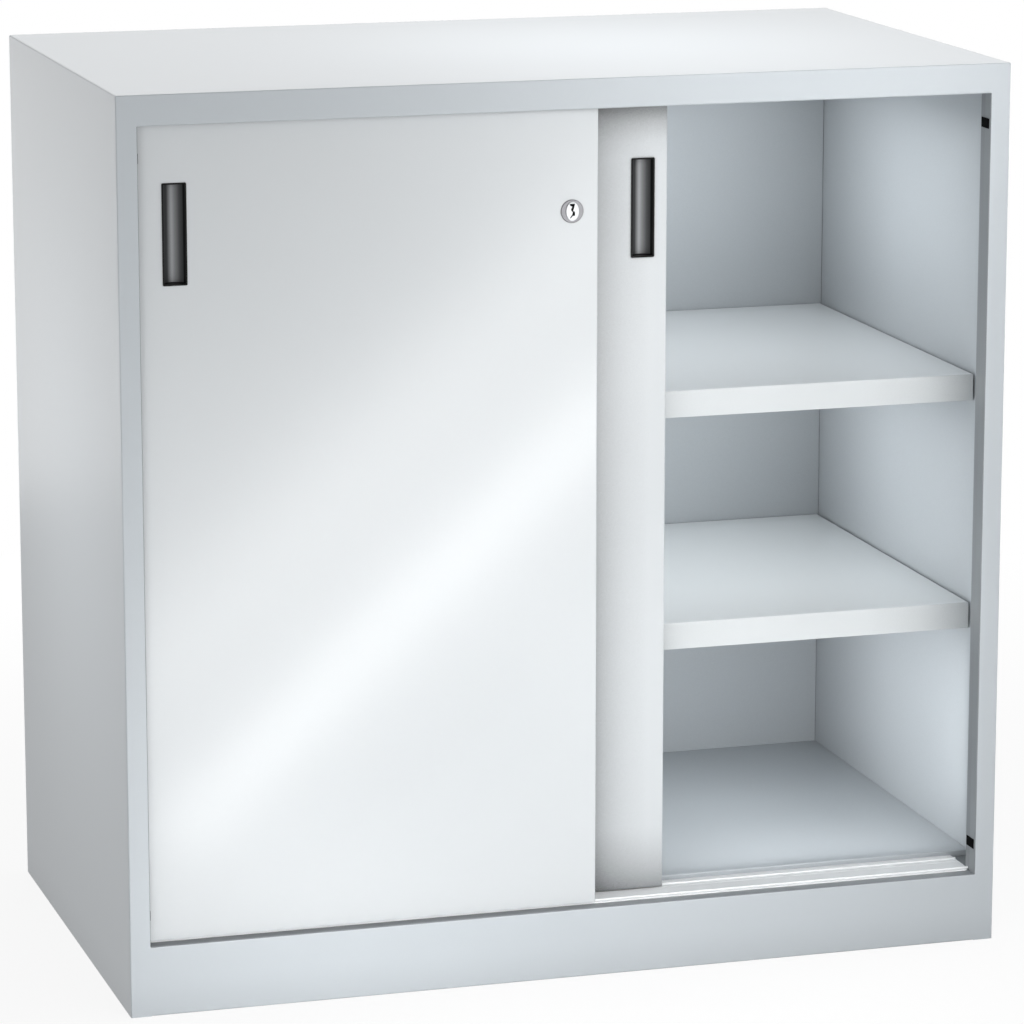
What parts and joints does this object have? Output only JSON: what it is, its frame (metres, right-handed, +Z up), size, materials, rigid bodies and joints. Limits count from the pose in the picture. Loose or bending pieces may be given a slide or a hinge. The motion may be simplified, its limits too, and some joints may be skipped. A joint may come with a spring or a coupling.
{
  "type": "sliding door cabinet",
  "caption": "Low sheet-steel cupboard with lockable sliding doors on rollers, recessed grips, fixed shelves and a flush plinth.",
  "frame": {"origin": "on the ground under the middle of the cabinet's bounding box", "axes": "+X to the right as seen from the front, +Y to the rear, +Z up; the doors face -Y"},
  "size_m": [1, 0.58, 1],
  "materials": {
    "carcass_paint": "satin powder coat, light grey",
    "front_door_paint": "satin powder coat, light grey",
    "rear_door_paint": "satin powder coat, light grey",
    "shelf_paint": "satin powder coat, light grey",
    "bracket_paint": "satin powder coat, light grey",
    "plated_steel": "zinc plated",
    "rail_aluminium": "satin anodised",
    "grip_plastic": "moulded, satin",
    "rubber": "moulded",
    "nylon": "moulded nylon",
    "lock_rosette": "satin nickel",
    "lock_plug": "polished nickel"
  },
  "bodies": {
    "housing": {"side_wall_left": "carcass_paint", "side_wall_right": "carcass_paint", "top_panel": "carcass_paint", "back_panel": "carcass_paint", "plinth_front": "carcass_paint", "plinth_back": "carcass_paint", "floor_panel": "carcass_paint", "top_stiffener": "bracket_paint", "floor_stiffeners": "bracket_paint", "bottom_rail": "rail_aluminium", "top_guide_channel": "bracket_paint", "top_guide_angle_front": "bracket_paint", "top_guide_angle_rear": "bracket_paint", "rear_door_stops": "rubber", "jamb_buffers": "rubber", "shelf_supports": "bracket_paint", "shelf_lower": "shelf_paint", "shelf_lower_stiffener": "shelf_paint", "shelf_upper": "shelf_paint", "shelf_upper_stiffener": "shelf_paint"},
    "front_door": {"front_door_pan": "front_door_paint", "front_door_stiffener": "front_door_paint", "front_door_grip": "grip_plastic", "front_door_roller_brackets": "plated_steel", "front_door_axles": "plated_steel", "front_door_rivets": "plated_steel", "front_door_guide_left": "nylon", "front_door_guide_right": "nylon", "lock_housing": "lock_rosette", "lock_nut": "plated_steel"},
    "rear_door": {"rear_door_pan": "rear_door_paint", "rear_door_stiffener": "rear_door_paint", "rear_door_grip": "grip_plastic", "rear_door_roller_brackets": "plated_steel", "rear_door_axles": "plated_steel", "rear_door_rivets": "plated_steel", "rear_door_guide_left": "nylon", "rear_door_guide_right": "nylon", "lock_catch": "plated_steel"},
    "lock": {"lock_plug": "lock_plug", "lock_cam": "plated_steel", "lock_cam_screw": "plated_steel"},
    "front_door_wheel_left": {"front_door_wheel_left": "nylon"},
    "front_door_wheel_right": {"front_door_wheel_right": "nylon"},
    "rear_door_wheel_left": {"rear_door_wheel_left": "nylon"},
    "rear_door_wheel_right": {"rear_door_wheel_right": "nylon"}
  },
  "joints": [
    {"name": "front_door_slide", "type": "slide", "parent": "housing", "child": "front_door", "axis": [1, 0, 0], "range_m": [0, 0.4462]},
    {"name": "rear_door_slide", "type": "slide", "parent": "housing", "child": "rear_door", "axis": [1, 0, 0], "range_m": [-0.0907, 0.3555]},
    {"name": "lock_turn", "type": "hinge", "parent": "front_door", "child": "lock", "pos_m": [0, -0.278, 0.856], "axis": [0, -1, 0], "range_deg": [0, 90]},
    {"name": "front_door_wheel_left_spin", "type": "hinge", "parent": "front_door", "child": "front_door_wheel_left", "pos_m": [-0.4157, -0.268, 0.0915], "axis": [0, 1, 0], "continuous": true},
    {"name": "front_door_wheel_right_spin", "type": "hinge", "parent": "front_door", "child": "front_door_wheel_right", "pos_m": [-0.0305, -0.268, 0.0915], "axis": [0, 1, 0], "continuous": true},
    {"name": "rear_door_wheel_left_spin", "type": "hinge", "parent": "rear_door", "child": "rear_door_wheel_left", "pos_m": [-0.325, -0.231, 0.0915], "axis": [0, 1, 0], "continuous": true},
    {"name": "rear_door_wheel_right_spin", "type": "hinge", "parent": "rear_door", "child": "rear_door_wheel_right", "pos_m": [0.0602, -0.231, 0.0915], "axis": [0, 1, 0], "continuous": true}
  ],
  "couplings": [
    {"joint": "front_door_wheel_left_spin", "follows": "front_door_slide", "rad_per_m": 100},
    {"joint": "front_door_wheel_right_spin", "follows": "front_door_slide", "rad_per_m": 100},
    {"joint": "rear_door_wheel_left_spin", "follows": "rear_door_slide", "rad_per_m": 100},
    {"joint": "rear_door_wheel_right_spin", "follows": "rear_door_slide", "rad_per_m": 100}
  ]
}
